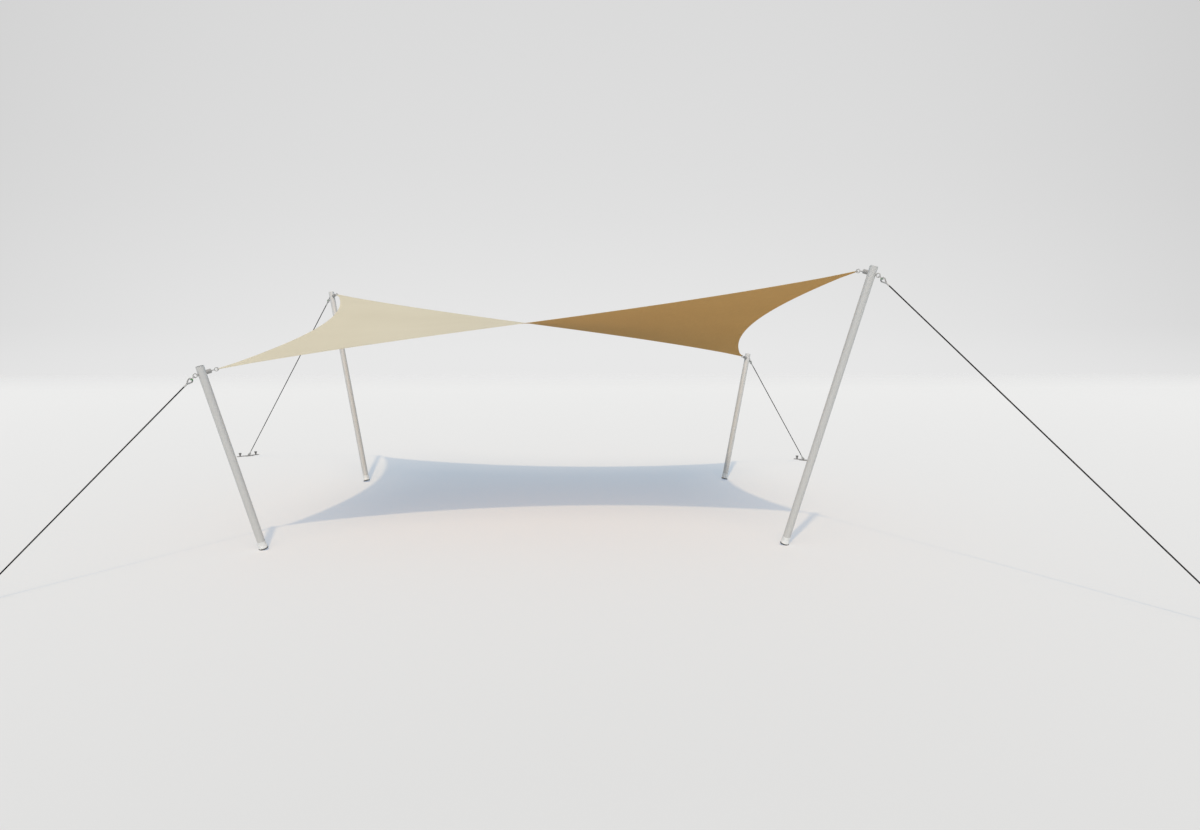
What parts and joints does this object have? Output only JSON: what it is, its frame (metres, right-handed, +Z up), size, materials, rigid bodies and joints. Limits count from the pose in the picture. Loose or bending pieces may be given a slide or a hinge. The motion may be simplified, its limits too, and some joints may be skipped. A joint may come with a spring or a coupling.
{
  "type": "stretch tent sail with its poles and guys",
  "caption": "Saddle-shaped stretch tent: a hemmed cloth held at its corners by leaning poles, each guyed to a pegged ground plate.",
  "frame": {"origin": "on the ground, under the middle of the tent", "axes": "+X along the sail's long edges, +Y along its short edges, +Z up; the low corners are at -X -Y and at +X +Y"},
  "size_m": [11.0536, 9.2116, 2.8013],
  "materials": {
    "sail_cloth": "cream coated stretch cloth, ochre weave underneath",
    "pole_tube": "light grey anodised tube",
    "foot_plastic": "white moulded cup",
    "foot_rubber": "dark rubber sole",
    "rig_steel": "light grey galvanised steel",
    "pin_paint": "green painted pin",
    "cable_cover": "dark plastic cover over wire rope",
    "anchor_steel": "grey painted steel"
  },
  "bodies": {
    "root": {"sail": "sail_cloth", "pole_front_left": "pole_tube", "foot_sleeve_front_left": "foot_plastic", "foot_sole_front_left": "foot_rubber", "eye_bolt_front_left": "rig_steel", "tip_link_front_left": "rig_steel", "eyelet_front_left": "rig_steel", "shackle_front_left": "rig_steel", "shackle_pin_front_left": "pin_paint", "cable_end_top_front_left": "rig_steel", "cable_front_left": "cable_cover", "cable_end_low_front_left": "rig_steel", "anchor_plate_front_left": "anchor_steel", "peg_a_front_left": "anchor_steel", "peg_b_front_left": "anchor_steel", "pole_front_right": "pole_tube", "foot_sleeve_front_right": "foot_plastic", "foot_sole_front_right": "foot_rubber", "eye_bolt_front_right": "rig_steel", "tip_link_front_right": "rig_steel", "eyelet_front_right": "rig_steel", "shackle_front_right": "rig_steel", "shackle_pin_front_right": "pin_paint", "cable_end_top_front_right": "rig_steel", "cable_front_right": "cable_cover", "cable_end_low_front_right": "rig_steel", "anchor_plate_front_right": "anchor_steel", "peg_a_front_right": "anchor_steel", "peg_b_front_right": "anchor_steel", "pole_back_right": "pole_tube", "foot_sleeve_back_right": "foot_plastic", "foot_sole_back_right": "foot_rubber", "eye_bolt_back_right": "rig_steel", "tip_link_back_right": "rig_steel", "eyelet_back_right": "rig_steel", "shackle_back_right": "rig_steel", "shackle_pin_back_right": "pin_paint", "cable_end_top_back_right": "rig_steel", "cable_back_right": "cable_cover", "cable_end_low_back_right": "rig_steel", "anchor_plate_back_right": "anchor_steel", "peg_a_back_right": "anchor_steel", "peg_b_back_right": "anchor_steel", "pole_back_left": "pole_tube", "foot_sleeve_back_left": "foot_plastic", "foot_sole_back_left": "foot_rubber", "eye_bolt_back_left": "rig_steel", "tip_link_back_left": "rig_steel", "eyelet_back_left": "rig_steel", "shackle_back_left": "rig_steel", "shackle_pin_back_left": "pin_paint", "cable_end_top_back_left": "rig_steel", "cable_back_left": "cable_cover", "cable_end_low_back_left": "rig_steel", "anchor_plate_back_left": "anchor_steel", "peg_a_back_left": "anchor_steel", "peg_b_back_left": "anchor_steel"}
  },
  "joints": []
}
